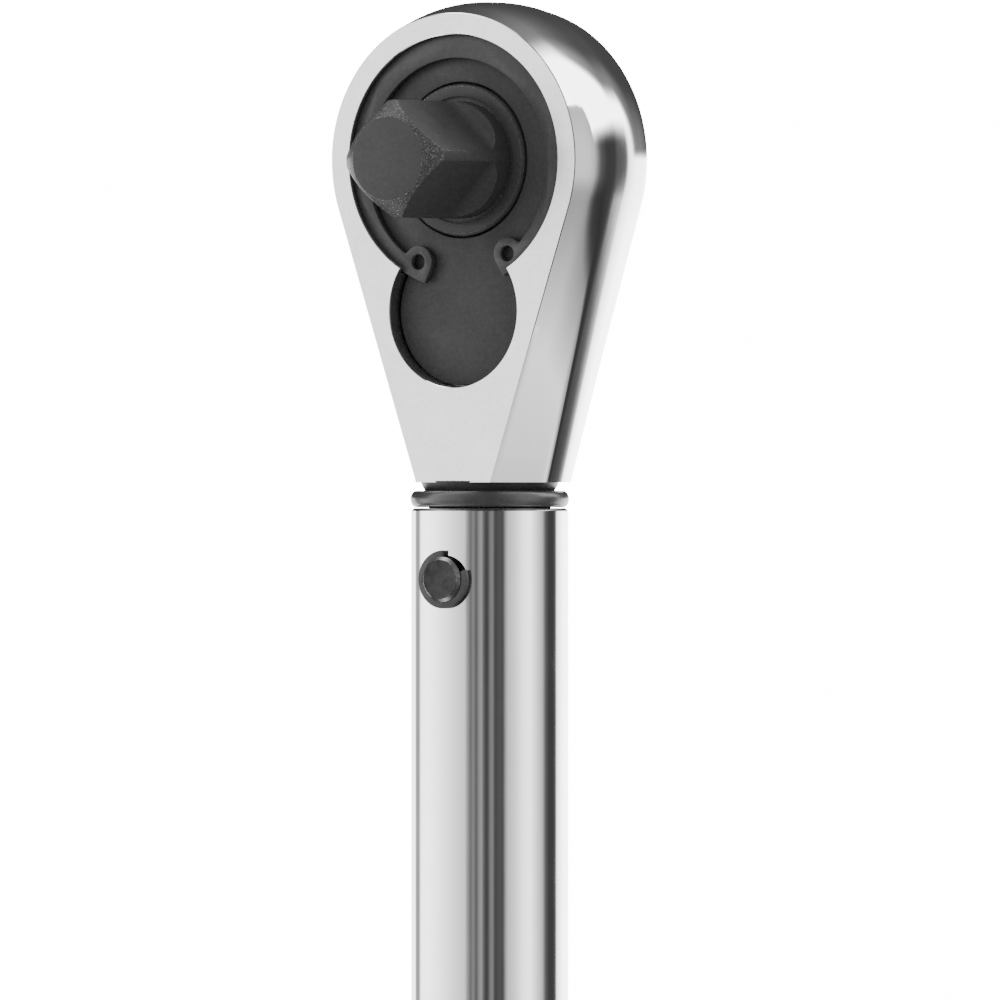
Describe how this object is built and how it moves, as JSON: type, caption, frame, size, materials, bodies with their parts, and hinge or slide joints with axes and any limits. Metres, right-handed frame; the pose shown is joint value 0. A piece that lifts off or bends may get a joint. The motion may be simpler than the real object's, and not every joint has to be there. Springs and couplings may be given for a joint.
{
  "type": "torque wrench",
  "caption": "Click torque wrench with reversible ratchet head, square drive, screw-adjusted handle and lock knob.",
  "frame": {"origin": "centre of the lock knob's flat end, on the tube's axis", "axes": "+Z along the tube from the lock knob to the ratchet head, -Y the way the square drive points"},
  "size_m": [0.0448, 0.0407, 0.4644],
  "materials": {
    "chrome": "polished chrome sides, finely ground front face",
    "lever_chrome": "polished chrome",
    "tube_chrome": "polished chrome plated tube",
    "satin_chrome": "satin chrome with an engraved scale",
    "knurled_steel": "diamond knurled, chromed steel",
    "black_oxide": "black oxide, worn bright along its edges",
    "pin_steel": "ground steel with a turned end",
    "bright_steel": "bright machined steel",
    "spring_steel": "oil-tempered spring steel",
    "seal_rubber": "glossy black rubber",
    "brass": "machined brass"
  },
  "bodies": {
    "tube": {"outer_tube": "tube_chrome", "pivot_pin": "pin_steel", "pivot_clip_front": "black_oxide", "pivot_clip_rear": "black_oxide", "neck_seal": "seal_rubber", "adjusting_nut": "brass", "nut_pin": "bright_steel"},
    "head": {"ratchet_head": "chrome", "cover_plate": "black_oxide", "snap_ring": "black_oxide"},
    "drive": {"drive_gear": "black_oxide", "detent_spring": "spring_steel"},
    "drive_ball": {"detent_ball": "bright_steel"},
    "lever": {"reverse_lever": "lever_chrome", "lever_retainer": "spring_steel", "pawl_spring": "spring_steel"},
    "lever_plunger": {"pawl_plunger": "bright_steel"},
    "pawl": {"pawl": "bright_steel"},
    "click_plunger": {"plunger": "bright_steel"},
    "click_block": {"tilt_block": "bright_steel"},
    "thrust": {"spring_seat": "bright_steel", "thrust_ball": "bright_steel", "main_spring": "spring_steel"},
    "handle": {"adjusting_screw": "bright_steel", "jam_nut": "bright_steel", "handle_plug": "bright_steel", "grip_sleeve": "knurled_steel", "scale_thimble": "satin_chrome"},
    "lock": {"lock_rod": "bright_steel"},
    "knob": {"lock_knob": "knurled_steel"}
  },
  "joints": [
    {"name": "head_click", "type": "hinge", "parent": "tube", "child": "head", "pos_m": [0, 0, 0.3828], "axis": [0, 1, 0], "range_deg": [0, 1.8], "stiffness_Nm_per_rad": 20},
    {"name": "drive_spin", "type": "hinge", "parent": "head", "child": "drive", "pos_m": [0, 0, 0.442], "axis": [0, 1, 0], "continuous": true},
    {"name": "ball_press", "type": "slide", "parent": "drive", "child": "drive_ball", "axis": [0.7431, 0, -0.6691], "range_m": [0, 0.0006], "stiffness_N_per_m": 100, "deforming": ["detent_spring"]},
    {"name": "lever_throw", "type": "hinge", "parent": "head", "child": "lever", "pos_m": [0, 0, 0.4207], "axis": [0, 1, 0], "range_deg": [0, 44]},
    {"name": "pawl_rock", "type": "hinge", "parent": "head", "child": "pawl", "pos_m": [0, 0, 0.4207], "axis": [0, 1, 0], "range_deg": [0, 7.1]},
    {"name": "lever_plunger_press", "type": "slide", "parent": "lever", "child": "lever_plunger", "axis": [-0.3746, 0, 0.9272], "range_m": [0, 0.0005], "stiffness_N_per_m": 50, "deforming": ["pawl_spring"]},
    {"name": "plunger_drop", "type": "slide", "parent": "tube", "child": "click_plunger", "axis": [0, 0, 1], "range_m": [-0.00032, 0]},
    {"name": "block_lean", "type": "hinge", "parent": "click_plunger", "child": "click_block", "pos_m": [0, 0, 0.3197], "axis": [0, 1, 0], "range_deg": [-13.5, 0]},
    {"name": "handle_travel", "type": "slide", "parent": "tube", "child": "thrust", "axis": [0, 0, 1], "range_m": [0, 0.02], "deforming": ["main_spring"]},
    {"name": "handle_turn", "type": "hinge", "parent": "thrust", "child": "handle", "pos_m": [0, 0, 0.03], "axis": [0, 0, 1], "range_deg": [0, 3600]},
    {"name": "lock_travel", "type": "slide", "parent": "handle", "child": "lock", "axis": [0, 0, 1], "range_m": [0, 0.0025]},
    {"name": "knob_turn", "type": "hinge", "parent": "lock", "child": "knob", "pos_m": [0, 0, 0], "axis": [0, 0, 1], "range_deg": [0, 720]}
  ],
  "couplings": [
    {"joint": "plunger_drop", "follows": "head_click", "m_per_rad": -0.01},
    {"joint": "block_lean", "follows": "head_click", "ratio": -7.35},
    {"joint": "pawl_rock", "follows": "lever_throw", "ratio": 0.15909},
    {"joint": "handle_turn", "follows": "handle_travel", "rad_per_m": 3141.6},
    {"joint": "knob_turn", "follows": "lock_travel", "rad_per_m": 5026.5}
  ]
}
